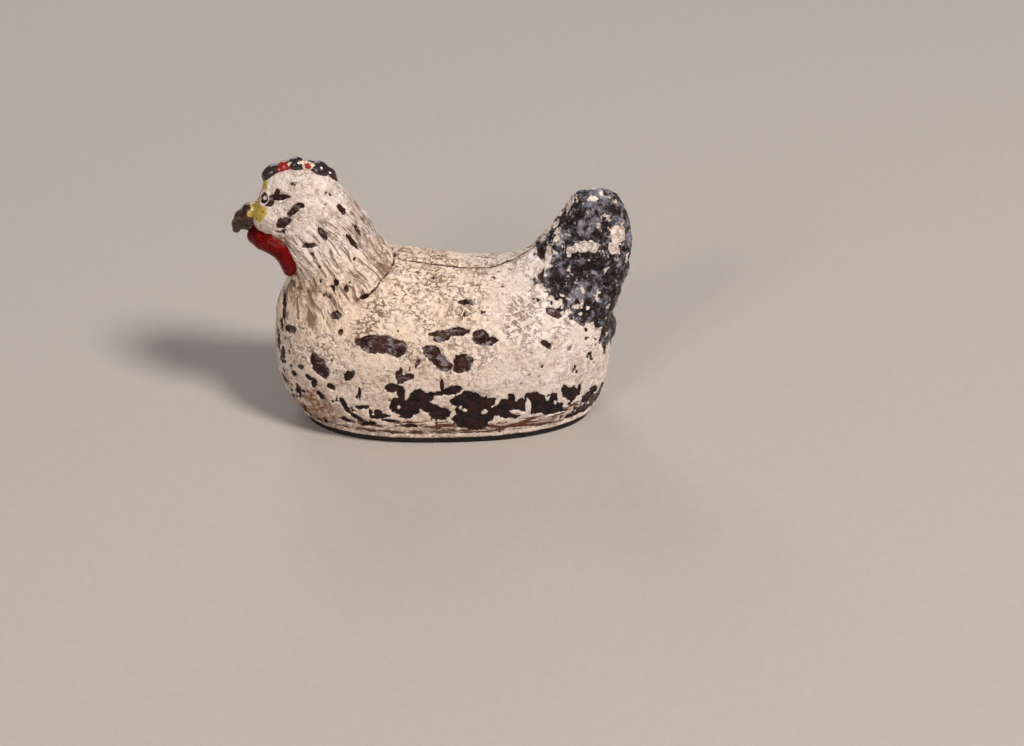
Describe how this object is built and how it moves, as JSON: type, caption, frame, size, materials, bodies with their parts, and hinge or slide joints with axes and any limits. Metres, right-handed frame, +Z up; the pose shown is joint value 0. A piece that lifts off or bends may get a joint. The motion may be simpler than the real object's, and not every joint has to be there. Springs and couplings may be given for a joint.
{
  "type": "miniature hen figure",
  "caption": "Free-standing miniature of a sitting hen: hollow two-piece painted metal body with separate comb, beak, wattle and base plate.",
  "frame": {"origin": "centre of the base plate's underside, on the surface the hen stands on", "axes": "+Z up, +X to the hen's left, +Y from breast to tail; the hen faces -Y"},
  "size_m": [0.011, 0.0249, 0.0175],
  "materials": {
    "shell": "old off-white paint, cracked and chipped to a dark undercoat, charcoal on the tail",
    "plate": "dark, dull, rust at the edge",
    "comb": "dark glossy knobs with red paint left between them",
    "beak": "dark glossy",
    "wattle": "deep red gloss paint",
    "solder": "dark bare metal"
  },
  "bodies": {
    "root": {"left_half": "shell", "right_half": "shell", "base_plate": "plate", "comb": "comb", "beak": "beak", "wattle": "wattle", "seam_solder": "solder"}
  },
  "joints": []
}
